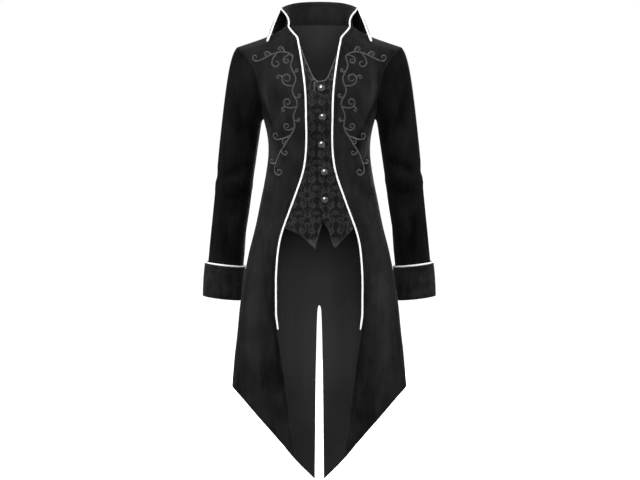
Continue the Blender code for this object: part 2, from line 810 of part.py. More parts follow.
def make_front_piping(front, white):
    """White piping up each front's free edge and along its neckline to the collar."""
    piped = [row for row in front if row[0].z >= PIPING_END]
    edge = beyond([row[0] for row in piped], [row[1] for row in piped])[::-1]
    to_notch = slice(1, NOTCH_COLUMN + 1)
    neckline = beyond(front[0][to_notch], front[1][to_notch], PIPING_RADIUS + 2 * SEAM)
    corner = front[0][0] + (edge[-1] - front[0][0] + neckline[0] - front[0][1]) * CORNER_REACH
    stop = mix(neckline[-2], neckline[-1], PIPING_STOP)
    line = [*edge[:-1], corner, *neckline[:-1], stop]
    tube("piping_front_left", line, white)
    tube("piping_front_right", mirrored([line])[0], white)


def make_collar_piping(collar, white):
    """White piping up each end of the collar, over the fold and round the edge of the fall."""
    left = beyond([row[0] for row in collar], [row[1] for row in collar])
    fall = beyond(collar[-1], collar[-2])
    foot = mix(left[0], left[1], PIPING_START)
    point = left[-1] + (fall[0] - collar[-1][0])
    half = [foot, *left[1:-1], point, *fall[1 : len(fall) // 2 + 1]]
    tube("piping_collar", half + mirrored([half])[0][-2::-1], white)


for old in list(bpy.data.objects):
    bpy.data.objects.remove(old)
COAT = bpy.data.collections.new("Steampunk tailcoat")
bpy.context.scene.collection.children.link(COAT)

black_cloth = new_material("Black suede cloth", (0.020, 0.020, 0.021), 0.85)
black_brocade = new_material("Black brocade", (0.028, 0.028, 0.030), 0.55)
white_piping = new_material("White piping", (0.85, 0.85, 0.84), 0.60)
silver_metal = new_material("Silver metal", (0.72, 0.72, 0.73), 0.22, metallic=1.0)

front_rows, back_rows, front_middle = make_body(black_cloth)
make_waistcoat(front_rows, black_brocade)
make_buttons(silver_metal)
make_sleeves(front_rows, back_rows, black_cloth)
make_cuffs(black_cloth, white_piping)
collar_rows = make_collar(front_rows, back_rows, black_cloth)
make_front_piping(front_middle, white_piping)
make_collar_piping(collar_rows, white_piping)
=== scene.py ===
from math import atan2, cos, e, exp, pi, radians, sin

import bpy
import numpy as np
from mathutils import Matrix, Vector
from mathutils.bvhtree import BVHTree
from mathutils.kdtree import KDTree


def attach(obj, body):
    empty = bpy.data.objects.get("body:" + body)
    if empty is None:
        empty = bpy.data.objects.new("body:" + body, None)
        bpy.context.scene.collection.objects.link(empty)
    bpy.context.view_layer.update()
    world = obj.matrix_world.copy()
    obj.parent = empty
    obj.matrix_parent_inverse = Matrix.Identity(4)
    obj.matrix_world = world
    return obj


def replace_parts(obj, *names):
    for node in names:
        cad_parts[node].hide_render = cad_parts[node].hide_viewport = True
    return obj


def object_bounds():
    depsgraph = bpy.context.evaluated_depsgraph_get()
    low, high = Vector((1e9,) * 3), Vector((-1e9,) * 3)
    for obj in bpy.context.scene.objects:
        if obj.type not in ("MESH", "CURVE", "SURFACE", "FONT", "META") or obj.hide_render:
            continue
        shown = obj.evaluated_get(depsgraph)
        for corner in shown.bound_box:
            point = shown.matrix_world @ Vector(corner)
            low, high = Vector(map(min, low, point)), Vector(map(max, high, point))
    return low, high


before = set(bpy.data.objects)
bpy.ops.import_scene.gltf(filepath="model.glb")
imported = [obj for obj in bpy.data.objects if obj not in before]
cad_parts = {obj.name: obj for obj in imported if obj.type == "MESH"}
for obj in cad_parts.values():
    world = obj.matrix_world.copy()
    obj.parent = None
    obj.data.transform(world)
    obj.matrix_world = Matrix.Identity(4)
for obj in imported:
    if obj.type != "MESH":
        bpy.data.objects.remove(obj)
cad_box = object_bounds()


# The stage: the photograph's own view, which looks almost level at the coat from the front,
# over a plain pale floor under soft studio light. The coat hangs clear of the floor.
AIM = Vector((0.00175, 0.0, -0.52))
STAND_OFF = 3.6
LOOKING_DOWN = radians(3)
FRAME_WIDTH = 1.6
SENSOR = 36
FLOOR_BELOW = 0.10
FLOOR_SIZE = 600
PAPER_DARK, PAPER_LIGHT = 0.86, 0.90
PAPER_MARKS_SIZE = 0.8
ROOM_LIGHT = 0.11

away = Vector((0, -cos(LOOKING_DOWN), sin(LOOKING_DOWN)))
bpy.ops.object.camera_add(location=AIM + away * STAND_OFF, rotation=(radians(90) - LOOKING_DOWN, 0, 0))
camera = bpy.context.object
camera.data.sensor_width = SENSOR
camera.data.lens = SENSOR * STAND_OFF / FRAME_WIDTH
bpy.context.scene.camera = camera


class Number:
    """A value that a finish's nodes work out, so that sums on it are written as Python."""

    def __init__(self, finish, socket):
        self.finish = finish
        self.socket = socket

    def maths(self, operation, *values):
        return self.finish.node("ShaderNodeMath", {"operation": operation}, values)

    def __add__(self, other):
        return self.maths("ADD", self, other)

    def __sub__(self, other):
        return self.maths("SUBTRACT", self, other)

    def __rsub__(self, other):
        return self.maths("SUBTRACT", other, self)

    def __mul__(self, other):
        return self.maths("MULTIPLY", self, other)

    def __truediv__(self, other):
        return self.maths("DIVIDE", self, other)

    def __mod__(self, other):
        return self.maths("FLOORED_MODULO", self, other)

    def __abs__(self):
        return self.maths("ABSOLUTE", self)

    def root(self):
        return self.maths("SQRT", self)

    def log(self):
        """The natural logarithm."""
        return self.maths("LOGARITHM", self, e)

    def sine(self):
        return self.maths("SINE", self)

    def most(self, other):
        return self.maths("MAXIMUM", self, other)

    def least(self, other):
        return self.maths("MINIMUM", self, other)

    def between(self, start, end):
        """0 at start and 1 at end, smoothly."""
        ends = {"Value": self, "From Min": start, "From Max": end}
        return self.finish.node("ShaderNodeMapRange", {"interpolation_type": "SMOOTHSTEP"}, ends)

    __radd__ = __add__
    __rmul__ = __mul__


# A Mix node's sockets for colours go by number, because its names repeat
MIX_SHARE, MIX_FIRST, MIX_SECOND, MIXED = 0, 6, 7, 2


class Finish:
    """A material in the making."""

    def __init__(self, name, shader_values):
        self.material = bpy.data.materials.new(name)
        self.material.use_nodes = True
        self.tree = self.material.node_tree
        self.shader = self.tree.nodes["Principled BSDF"]
        for socket, value in shader_values.items():
            self.set(socket, value)

    def join(self, value, socket):
        """Gives a socket its link or its plain value."""
        if isinstance(value, Number):
            self.tree.links.new(value.socket, socket)
        else:
            socket.default_value = value

    def set(self, socket, value):
        self.join(value, self.shader.inputs[socket])

    def node(self, kind, settings, values, output=0):
        """Adds a node, with its settings and then its inputs, and returns one output."""
        node = self.tree.nodes.new(kind)
        for name, value in settings.items():
            setattr(node, name, value)
        for key, value in values.items() if isinstance(values, dict) else enumerate(values):
            self.join(value, node.inputs[key])
        return Number(self, node.outputs[output])

    def place(self):
        """Where a point lies on the coat."""
        return self.node("ShaderNodeTexCoord", {}, {}, "Object")

    def part_of(self, place, axis):
        """A place's distance along the X, Y or Z axis."""
        return self.node("ShaderNodeSeparateXYZ", {}, {"Vector": place}, axis)

    def noise(self, place, size, detail=2, stretch=(1, 1, 1)):
        """Uneven marks of this size, from 0 to 1, stretched along the axes."""
        scale = tuple(1 / s for s in stretch)
        mapped = self.node("ShaderNodeMapping", {}, {"Vector": place, "Scale": scale})
        return self.node("ShaderNodeTexNoise", {}, {"Vector": mapped, "Scale": 1 / size, "Detail": detail})

    def mix(self, share, first, second):
        """The first colour where share is 0, and the second where it is 1."""
        colours = {MIX_SHARE: share, MIX_FIRST: first, MIX_SECOND: second}
        return self.node("ShaderNodeMix", {"data_type": "RGBA"}, colours, MIXED)

    def raise_by(self, height, metres):
        """Raises the surface by this many metres where height is 1."""
        bump = self.node("ShaderNodeBump", {}, {"Strength": 1.0, "Distance": metres, "Height": height})
        self.set("Normal", bump)


def grey(level, warmth=0.0):
    """A nearly neutral colour."""
    return (level * (1 + warmth), level, level * (1 - warmth), 1)


bpy.ops.mesh.primitive_plane_add(size=FLOOR_SIZE, location=(0, 0, cad_box[0].z - FLOOR_BELOW))
floor = bpy.context.object
floor.name = "floor"
floor.visible_diffuse = False
floor.visible_glossy = False
paper = Finish("Pale paper floor", {"Roughness": 0.9, "Emission Color": grey(1), "Emission Strength": 1.0})
paper_marks = paper.noise(paper.place(), PAPER_MARKS_SIZE)
paper.set("Base Color", paper.mix(paper_marks, grey(PAPER_DARK), grey(PAPER_LIGHT)))
floor.data.materials.append(paper.material)

# Each lamp's name, place, size and power, and whether bright metal shows it
LAMPS = [
    ("key", (-0.5, -2.1, 2.1), 2.2, 60, True),
    ("left", (-2.7, -1.0, 0.2), 1.2, 90, False),
    ("right", (2.7, -1.1, 0.1), 1.2, 76, False),
    ("front", (0.2, -3.3, 0.2), 2.0, 78, False),
    ("top", (0.1, 1.1, 2.1), 1.4, 12, True),
    ("back", (0.8, 2.8, 0.0), 1.8, 80, True),
]
for name, spot, size, watts, shown in LAMPS:
    bpy.ops.object.light_add(type="AREA", location=spot)
    lamp = bpy.context.object
    lamp.name = name
    lamp.visible_glossy = shown
    lamp.data.size = size
    lamp.data.energy = watts
    lamp.rotation_euler = (Vector(spot) - AIM).to_track_quat("Z", "Y").to_euler()

world = bpy.data.worlds.new("White studio")
bpy.context.scene.world = world
world.use_nodes = True
studio = world.node_tree
backdrop = studio.nodes["Background"]
seen = studio.nodes.new("ShaderNodeLightPath").outputs["Is Camera Ray"]
level = studio.nodes.new("ShaderNodeMapRange")
level.inputs["To Min"].default_value = ROOM_LIGHT
studio.links.new(seen, level.inputs["Value"])
studio.links.new(level.outputs["Result"], backdrop.inputs["Strength"])
backdrop.inputs["Color"].default_value = grey(1)
bpy.context.scene.view_settings.view_transform = "Standard"


# The body: two fronts and two backs of black velveteen, interfaced and lined with plain satin.
# The panels are sewn at the shoulders, the sides and the centre back. The fronts are cut away
# below the waist, and the backs fall into two pointed tails on either side of a slit.

# The greatest distance between two points that are sewn together, and between two that are one
SEAM_REACH, MERGE = 0.0020, 0.00002
# Faces narrower than the thickest cloth are cut edges. Edges that bend more than a rim stay sharp
# and are then rounded a little, and a cut edge keeps its corners up to this angle
THICKEST_CLOTH = 0.0026
RIM = radians(50)
EDGE_ROUNDING = 0.0006
SHARP_CORNER = radians(150)
# How often a form is divided and rounded, and the greatest angle that is shaded smoothly
ROUNDINGS = 2
SMOOTH_BELOW = radians(35)
# The rise of a whole fold, and how a fold fades towards its ends: below 1 it keeps its height longer
DEEP_FOLD = 0.004
FOLD_FADE = 0.7
# The least distance of the lining from the outer cloth, and the rise of the outward direction, by
# which a shoulder's upper face counts as outside
LEAST_WALL = 0.0007
SHOULDER_RISE = 0.06
# The places of a piece's cloths among its materials, and a mark for cut edges while it is made
VELVETEEN, SATIN, CUT_EDGE = 0, 1, 2


def only(piece):
    """Selects this piece alone."""
    bpy.ops.object.select_all(action="DESELECT")
    piece.select_set(True)
    bpy.context.view_layer.objects.active = piece


def apply(piece, kind, **settings):
    """Adds a modifier to the piece and applies it."""
    modifier = piece.modifiers.new(kind.title(), kind)
    for name, value in settings.items():
        setattr(modifier, name, value)
    only(piece)
    bpy.ops.object.modifier_apply(modifier=modifier.name)


def round_off(piece):
    """Rounds a piece's form between the edges that are kept sharp."""
    apply(piece, "SUBSURF", levels=ROUNDINGS, render_levels=ROUNDINGS)


def cloth_from(node, name):
    """A piece with a node's form, its loose triangles merged and paired into four-sided faces."""
    piece = bpy.data.objects.new(name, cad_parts[node].data.copy())
    piece.data.materials.clear()
    bpy.context.scene.collection.objects.link(piece)
    only(piece)
    bpy.ops.mesh.customdata_custom_splitnormals_clear()
    bpy.ops.object.mode_set(mode="EDIT")
    bpy.ops.mesh.select_all(action="SELECT")
    bpy.ops.mesh.remove_doubles(threshold=MERGE)
    bpy.ops.mesh.tris_convert_to_quads(face_threshold=pi, shape_threshold=pi)
    bpy.ops.object.mode_set(mode="OBJECT")
    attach(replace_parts(piece, node), "root")
    return piece


def sew(piece, *neighbours):
    """Draws the seams closed: a point that faces a neighbour's point goes half-way to it."""
    points = [vertex.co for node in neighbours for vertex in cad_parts[node].data.vertices]
    tree = KDTree(len(points))
    for k, point in enumerate(points):
        tree.insert(point, k)
    tree.balance()
    for vertex in piece.data.vertices:
        near, _, gap = tree.find(vertex.co)
        if gap < SEAM_REACH:
            vertex.co = (vertex.co + near) / 2


def keep_corners(piece):
    """Keeps the points where a cut edge turns a sharp corner, such as the tips of the tails."""
    rims = {}
    corners = [0.0] * len(piece.data.vertices)
    for face in piece.data.polygons:
        if face.material_index == CUT_EDGE:
            for a, b in face.edge_keys:
                rims.setdefault(a, set()).add(b)
                rims.setdefault(b, set()).add(a)
    for v, others in rims.items():
        here = piece.data.vertices[v].co
        ways = [piece.data.vertices[w].co - here for w in others]
        ways = [way for way in ways if way.length > THICKEST_CLOTH]
        if len(ways) == 2 and ways[0].angle(ways[1]) < SHARP_CORNER:
            corners[v] = 1.0
    piece.data.attributes.new("crease_vert", "FLOAT", "POINT").data.foreach_set("value", corners)


def refine(piece):
    """Rounds the form between its sharp cut edges, and then rounds those edges a little."""
    for face in piece.data.polygons:
        corners = [piece.data.vertices[v].co for v in face.vertices]
        sides = [(a - b).length for a, b in zip(corners, corners[1:] + corners[:1])]
        width = max(min(sides), face.area / max(sides))
        face.material_index = CUT_EDGE if width < THICKEST_CLOTH else VELVETEEN
    only(piece)
    bpy.ops.object.mode_set(mode="EDIT")
    bpy.ops.mesh.select_mode(type="EDGE")
    bpy.ops.mesh.select_all(action="DESELECT")
    bpy.ops.mesh.edges_select_sharp(sharpness=RIM)
    bpy.ops.transform.edge_crease(value=1)
    bpy.ops.object.mode_set(mode="OBJECT")
    keep_corners(piece)
    round_off(piece)
    apply(piece, "BEVEL", width=EDGE_ROUNDING, segments=2, limit_method="ANGLE", angle_limit=RIM)


def measure_edges(piece):
    """Keeps each point's distance from the cut edges, which the finish presses, stitches and lightens with
    a painted highlight.
    """
    points = [vertex.co for vertex in piece.data.vertices]
    rims = [face.vertices[:] for face in piece.data.polygons if face.material_index == CUT_EDGE]
    tree = BVHTree.FromPolygons(points, rims)
    distances = [tree.find_nearest(point)[3] for point in points]
    piece.data.attributes.new("from_edge", "FLOAT", "POINT").data.foreach_set("value", distances)


def crease(piece, axis_at, creases):
    """Raises soft ridges, or presses troughs, along lines of turn and height about an axis."""
    points = np.array([vertex.co for vertex in piece.data.vertices])
    z = points[:, 2]
    out = points[:, :2] - np.array([axis_at(height) for height in z])
    reach = np.hypot(out[:, 0], out[:, 1])
    turn = np.degrees(np.arctan2(out[:, 0], -out[:, 1]))
    rise = np.zeros(len(points))
    for turn_from, z_from, turn_to, z_to, width, height in creases:
        beside = np.radians((turn - turn_from + 180) % 360 - 180) * reach
        run = radians(turn_to - turn_from) * reach
        fall = z_to - z_from
        share = np.clip((beside * run + (z - z_from) * fall) / (run**2 + fall**2), 0, 1)
        off = np.hypot(beside - share * run, z - z_from - share * fall)
        rise += height * np.exp(-((off / width) ** 2)) * np.sin(pi * share) ** FOLD_FADE
    points[:, :2] += out * (rise / reach)[:, None]
    piece.data.vertices.foreach_set("co", points.ravel())
    piece.data.update()
    piece.data.attributes.new("fold", "FLOAT", "POINT").data.foreach_set("value", rise / DEEP_FOLD)


def line_inside(piece, axis_at):
    """Gives the faces that look inwards, or down from a shoulder, the lining."""
    for face in piece.data.polygons:
        x, y = axis_at(face.center.z)
        outward = Vector((face.center.x - x, face.center.y - y, SHOULDER_RISE))
        inwards = face.normal.dot(outward) < 0 and face.material_index != CUT_EDGE
        face.material_index = SATIN if inwards else VELVETEEN


def keep_wall(piece):
    """Moves the lining inwards where the rounding has brought it too close to the outer cloth."""
    points = [vertex.co.copy() for vertex in piece.data.vertices]
    lining, others = set(), set()
    for face in piece.data.polygons:
        (lining if face.material_index == SATIN else others).update(face.vertices)
    outside = [face.vertices[:] for face in piece.data.polygons if face.material_index == VELVETEEN]
    tree = BVHTree.FromPolygons(points, outside)
    for v in lining - others:
        near, normal, _, _ = tree.find_nearest(points[v])
        depth = (near - points[v]).dot(normal)
        if depth < LEAST_WALL:
            piece.data.vertices[v].co -= normal * (LEAST_WALL - depth)


# The bust dart runs from a point of the chest down to the side, by distance from the middle and height
DART_POINT = (0.0760, -0.1985)
DART_FOOT = (0.1180, -0.2500)
# The sizes of the cloth's marks, and where each fades in and where it is full: the edges' pressing
# with its painted highlight, the line of stitches beside them, the dart's seam, the painted highlight
# along it, the dart's two ends, and the fronts, which alone have it
BRUSHED_SIZE, PILE_SIZE = 0.012, 0.0009
BRUSHED_STRETCH = (1, 1, 4)
SOFT_MARKS, PILE_MARKS = (0.25, 0.75), (0.2, 0.8)
PRESSED_AND_HIGHLIT = (0.004, 0.0005)
STITCHES_AT = 0.0065
STITCHED = (0.0010, 0.0002)
DART_SEAM = (0.0014, 0.0004)
DART_HIGHLIGHT = (0.012, 0.001)
DART_FADES_IN, DART_ENDS = (0.0, 0.25), (1.02, 1.0)
DART_ON_FRONTS = (0.0, -0.02)
# How much each mark lightens the velveteen, and how much it raises it, by share of its relief; the fold's
# share is painted light on the ridges and painted shade in the troughs
LIGHTENED = {
    "clouds": 0.32,
    "brushed": 0.28,
    "pile": 0.22,
    # the pressed edges, lightened as a painted highlight where the rim catches the light
    "pressed_and_highlit": 0.12,
    # painted light on the folds' ridges and painted shade in their troughs
    "fold": 0.6,
    # a painted highlight in a band along the dart
    "dart_highlight": 0.35,
    "stitched": -0.3,
    "dart": -0.6,
}
RAISED = {"pile": 0.25, "brushed": 0.15, "stitched": -0.5, "pressed_and_highlit": -0.3, "dart": -0.8}
VELVETEEN_RELIEF = 0.0007


def velveteen(name, dark, light, sheen, mottle):
    """Short-piled cloth between two shades, with clouds of a size, stitched edges and a dart, painted
    light and shade on its folds, and painted highlights along its cut edges and beside the dart.
    """
    cloth = Finish(name, {"Specular IOR Level": 0.15, "Sheen Weight": sheen, "Sheen Roughness": 0.4})
    place = cloth.place()
    from_edge = cloth.node("ShaderNodeAttribute", {"attribute_name": "from_edge"}, {}, "Fac")
    run = Vector(DART_FOOT) - Vector(DART_POINT)
    beside = abs(cloth.part_of(place, "X")) - DART_POINT[0]
    above = cloth.part_of(place, "Z") - DART_POINT[1]
    share = (beside * run.x + above * run.y) / run.length_squared
    off = abs((above * run.x - beside * run.y) / run.length)
    on_dart = share.between(*DART_FADES_IN) * share.between(*DART_ENDS)
    on_dart = on_dart * cloth.part_of(place, "Y").between(*DART_ON_FRONTS)
    marks = {
        "clouds": cloth.noise(place, mottle, detail=3).between(*SOFT_MARKS),
        "brushed": cloth.noise(place, BRUSHED_SIZE, 4, BRUSHED_STRETCH).between(*SOFT_MARKS),
        "pile": cloth.noise(place, PILE_SIZE).between(*PILE_MARKS),
        "fold": cloth.node("ShaderNodeAttribute", {"attribute_name": "fold"}, {}, "Fac"),
        "pressed_and_highlit": from_edge.between(*PRESSED_AND_HIGHLIT),
        "stitched": abs(from_edge - STITCHES_AT).between(*STITCHED),
        "dart": off.between(*DART_SEAM) * on_dart,
        # painted highlight beside the dart's seam
        "dart_highlight": off.between(*DART_HIGHLIGHT) * on_dart,
    }
    shade = sum(marks[mark] * amount for mark, amount in LIGHTENED.items())
    cloth.set("Base Color", cloth.mix(shade, dark, light))
    cloth.set("Roughness", 0.95 - marks["clouds"] * 0.2)
    cloth.raise_by(sum(marks[mark] * amount for mark, amount in RAISED.items()), VELVETEEN_RELIEF)
    return cloth.material


body_velveteen = velveteen(
    "Black velveteen", grey(0.0020), grey(0.0165, 0.01), sheen=0.06, mottle=0.09
)

# The lining's satin is painted darker, as shade, towards the tails' ends and below the neck down to
# the waist: the heights where each of these fades in and where it is full, and how much it darkens the
# satin
TAILS_PAINTED_SHADE = (-0.80, -1.10)
BELOW_NECK_PAINTED_SHADE, ABOVE_WAIST_PAINTED_SHADE = (0.05, -0.12), (-0.40, -0.20)
TAILS_SHADE_DEPTH, NECK_SHADE_DEPTH = 0.55, 0.42
SATIN_SHADE, SATIN_CLOUDS = 0.38, 0.3
TWILL_SIZE, SATIN_CLOUDS_SIZE = 0.0012, 0.12
SATIN_RELIEF = 0.0001

satin = Finish("Black satin lining", {"Specular IOR Level": 0.3, "Sheen Weight": 0.1})
satin_place = satin.place()
twill = satin.noise(satin_place, TWILL_SIZE, detail=1, stretch=(1, 1, 3))
satin_clouds = satin.noise(satin_place, SATIN_CLOUDS_SIZE)
satin_height = satin.part_of(satin_place, "Z")
below_neck_shade = satin_height.between(*BELOW_NECK_PAINTED_SHADE) * satin_height.between(*ABOVE_WAIST_PAINTED_SHADE)
# Painted shade: the satin is darkened towards the tails' ends and inside the neck, where less light
# reaches it
painted_shade = satin_height.between(*TAILS_PAINTED_SHADE) * TAILS_SHADE_DEPTH + below_neck_shade * NECK_SHADE_DEPTH
satin_shade = satin_clouds * SATIN_CLOUDS + SATIN_SHADE - painted_shade
satin.set("Base Color", satin.mix(satin_shade, grey(0.010), grey(0.060)))
satin.set("Roughness", 0.6 + satin_clouds * 0.1)
satin.raise_by(twill, SATIN_RELIEF)

# Each crease by the turn in degrees and the height where it starts and those where it ends, its
# half width, and how far it rises, which is below 0 for a trough
BODY_CREASES = [
    (63, -0.085, 60, -0.185, 0.0060, 0.0024),
    (68, -0.095, 66, -0.200, 0.0050, -0.0016),
    (55, -0.110, 53, -0.180, 0.0055, 0.0010),
    (76, -0.150, 60, -0.250, 0.011, -0.0035),
    (68, -0.120, 54, -0.210, 0.012, 0.0022),
    (66, -0.225, 44, -0.320, 0.012, -0.0030),
    (74, -0.250, 54, -0.345, 0.010, 0.0024),
    (84, -0.300, 50, -0.350, 0.010, -0.0026),
    (86, -0.338, 54, -0.372, 0.009, 0.0022),
    (88, -0.366, 60, -0.415, 0.011, -0.0024),
    (64, -0.440, 56, -0.860, 0.020, 0.0028),
    (78, -0.430, 74, -0.780, 0.018, -0.0034),
    (44, -0.540, 36, -0.960, 0.018, -0.0032),
    (88, -0.540, 84, -0.920, 0.016, -0.0034),
    (54, -0.700, 46, -1.000, 0.014, -0.0022),
    (108, -0.205, 134, -0.300, 0.012, -0.0032),
    (122, -0.160, 150, -0.240, 0.013, 0.0022),
    (96, -0.325, 142, -0.350, 0.010, -0.0028),
    (98, -0.352, 152, -0.378, 0.009, 0.0024),
    (112, -0.400, 106, -0.840, 0.020, -0.0042),
    (132, -0.430, 126, -0.960, 0.020, 0.0042),
    (150, -0.500, 144, -1.060, 0.018, -0.0040),
    (166, -0.540, 162, -1.110, 0.016, 0.0034),
]
LEFT, RIGHT = 1, -1
# How much lower, and how much shallower, the right side's creases are
RIGHT_SHIFT = -0.012
RIGHT_DEPTH = 0.85


def on_side(creases, side):
    """The creases as given, for the wearer's left side, or those of the right side."""
    if side == LEFT:
        return creases
    return [
        (-turn_from, z_from + RIGHT_SHIFT, -turn_to, z_to + RIGHT_SHIFT, width, height * RIGHT_DEPTH)
        for turn_from, z_from, turn_to, z_to, width, height in creases
    ]


ALL_BODY_CREASES = on_side(BODY_CREASES, LEFT) + on_side(BODY_CREASES, RIGHT)


def body_axis(height):
    """The body's axis is upright, so that it lies at the same place at every height."""
    return 0.0, 0.0


def finish_cloth(piece, axis_at, creases, outside, inside):
    """Rounds, creases and lines a piece, and gives it its two cloths."""
    refine(piece)
    crease(piece, axis_at, creases)
    measure_edges(piece)
    line_inside(piece, axis_at)
    piece.data.materials.append(outside)
    piece.data.materials.append(inside)
    only(piece)
    bpy.ops.object.shade_smooth_by_angle(angle=SMOOTH_BELOW)


body = {}
for side in ("left", "right"):
    other = "right" if side == "left" else "left"
    for part, opposite in (("front", "back"), ("back", "front")):
        panel = cloth_from(f"{part}_{side}", f"cloth_{part}_{side}")
        neighbours = [f"{opposite}_{side}", f"sleeve_top_{side}", f"sleeve_under_{side}"]
        sew(panel, *neighbours, *([f"back_{other}"] if part == "back" else []))
        finish_cloth(panel, body_axis, ALL_BODY_CREASES, body_velveteen, satin.material)
        keep_wall(panel)
        body[part, side] = panel


# The sleeves: cut in two, a top sleeve and an under sleeve, set into the armhole with a smooth
# cap. They are of the same velveteen, painted darker here as shade, and hang nearly straight.

# The middle of the left sleeve below its cap and at its end
SLEEVE_TOP = Vector((0.1965, 0.006, -0.250))
SLEEVE_END = Vector((0.2425, 0.037, -0.664))
# The creases as on the body, but with turns about the sleeve's own middle
SLEEVE_CREASES = [
    (20, -0.130, -10, -0.260, 0.012, -0.0026),
    (40, -0.190, 10, -0.310, 0.010, 0.0022),
    (-20, -0.200, -60, -0.300, 0.011, -0.0030),
    (-60, -0.310, 40, -0.345, 0.010, -0.0036),
    (-50, -0.345, 50, -0.368, 0.008, 0.0026),
    (-70, -0.385, 30, -0.398, 0.009, -0.0032),
    (-40, -0.420, 10, -0.510, 0.011, 0.0024),
    (30, -0.440, -6, -0.560, 0.012, -0.0026),
    (60, -0.470, 80, -0.570, 0.011, -0.0026),
    (140, -0.330, 60, -0.352, 0.009, -0.0030),
    (150, -0.352, 40, -0.385, 0.008, 0.0024),
    (-100, -0.330, -170, -0.352, 0.010, -0.0030),
    (-90, -0.372, -160, -0.392, 0.009, 0.0026),
    (-120, -0.420, -80, -0.540, 0.013, -0.0028),
    (160, -0.420, 130, -0.560, 0.012, 0.0024),
]

# A darker copy of the body's velveteen, as painted shade on the sleeves
shaded_sleeve_velveteen = velveteen(
    "Black velveteen of the sleeves, painted darker as shade", grey(0.0008), grey(0.0066, 0.01), sheen=0.03, mottle=0.09
)


def sleeve_axis(side):
    """Where the middle of a sleeve lies, by height."""

    def axis_at(height):
        share = min(1.0, max(0.0, (height - SLEEVE_TOP.z) / (SLEEVE_END.z - SLEEVE_TOP.z)))
        middle = SLEEVE_TOP.lerp(SLEEVE_END, share)
        return side * middle.x, middle.y

    return axis_at


for side, name in ((LEFT, "left"), (RIGHT, "right")):
    for part, other in (("top", "under"), ("under", "top")):
        sleeve = cloth_from(f"sleeve_{part}_{name}", f"cloth_sleeve_{part}_{name}")
        sew(sleeve, f"front_{name}", f"back_{name}", f"sleeve_{other}_{name}")
        creases = on_side(SLEEVE_CREASES, side)
        finish_cloth(sleeve, sleeve_axis(side), creases, shaded_sleeve_velveteen, satin.material)
        keep_wall(sleeve)


# The cuffs: deep bands of the same velveteen, turned back over the sleeve's end and folded in
# at the wrist, so that the fold closes the space between the cuff and the sleeve.

# Below this height, the points this near the sleeve are drawn this share of the way to it
FOLD_BELOW = -0.655
FOLD_REACH = 0.0045
FOLD_SHARE = 0.9

cuff_velveteen = velveteen(
    "Black velveteen of the cuffs", grey(0.0010), grey(0.0200, 0.01), sheen=0.08, mottle=0.025
)


def form_of(mesh):
    """A mesh's surface, on which the nearest or the next point can be found."""
    return BVHTree.FromPolygons([v.co for v in mesh.vertices], [f.vertices[:] for f in mesh.polygons])


for side, name in ((LEFT, "left"), (RIGHT, "right")):
    cuff = cloth_from(f"cuff_{name}", f"cloth_cuff_{name}")
    for part in ("top", "under"):
        form = form_of(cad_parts[f"sleeve_{part}_{name}"].data)
        for vertex in cuff.data.vertices:
            near, _, _, gap = form.find_nearest(vertex.co)
            if vertex.co.z < FOLD_BELOW and gap < FOLD_REACH:
                vertex.co.xy = vertex.co.xy.lerp(near.xy, FOLD_SHARE)
    finish_cloth(cuff, sleeve_axis(side), [], cuff_velveteen, satin.material)


# The collar: a stiffened stand with a deep pointed fall turned down over it, both faces of the
# body's velveteen, sewn to the neckline from notch to notch.

# The fall's left tip, how far it is drawn down over the front of the shoulder, and how widely
TIP = Vector((0.1292, -0.0268, -0.0225))
TIP_MOVE = Vector((-0.0020, -0.0132, -0.0085))
TIP_REACH = 0.030


def from_left(vertex, place):
    """How far a point lies from a place on the left side, or from the same place on the right."""
    return (Vector((abs(vertex.co.x), *vertex.co.yz)) - place).length


def shift(vertex, step):
    """Moves a point by a step that is given for the left side."""
    side = LEFT if vertex.co.x > 0 else RIGHT
    vertex.co += Vector((side * step.x, *step.yz))


def lay_tips(piece):
    """Draws the tips of the fall down over the shoulders, and the cloth near them with it."""
    for vertex in piece.data.vertices:
        shift(vertex, TIP_MOVE * exp(-((from_left(vertex, TIP) / TIP_REACH) ** 2)))


collar = cloth_from("collar", "cloth_collar")
lay_tips(collar)
finish_cloth(collar, body_axis, [], body_velveteen, body_velveteen)


# The mock waistcoat: two fronts of black brocade, woven with shiny scrolls on a dull ground,
# sewn in behind the coat's front edges. The left front laps over the right one and is buttoned.

# The figure's repeat, which mirrors itself from side to side
TILE_WIDTH, TILE_HEIGHT = 0.046, 0.062
# The scrolls of the woven figure: where on half the tile, their reach, tightness and hand
WOVEN_SCROLLS = [
    (0.0125, 0.0120, 0.0105, 0.75, 1),
    (0.0150, 0.0330, 0.0088, 0.70, -1),
    (0.0045, 0.0470, 0.0070, 0.65, 1),
    (0.0190, 0.0500, 0.0068, 0.65, -1),
    (0.0030, 0.0240, 0.0060, 0.65, -1),
]
# The edges of a scroll's arm, by share of its winding, and where it begins to end, by share of its reach
ARM_EDGES = (0.34, 0.22)
ARM_ENDS_AT = 0.92
# The wavy vine between the scrolls: where it runs, its swing, and its edges
VINE_AT, VINE_SWING = 0.0105, 0.0055
VINE_EDGES = (0.0014, 0.0007)
# The weave sways a little, by this much over this distance
SWAY, SWAY_SIZE = 0.012, 0.022
# Where the lap's edge and the bound neckline lie, how each fades, how wide the painted shadow by
# the lap and the binding are, and how much of the binding's paleness the other edges have
LAP_REACH, LAP_BOTTOM, LAP_FADE = 0.022, -0.474, 0.004
LAP_SHADOW = (0.0040, 0.0012)
NECKLINE_BOTTOM, NECKLINE_FADE = -0.150, 0.005
BOUND = (0.0024, 0.0014)
BOUND_ELSEWHERE = 0.25
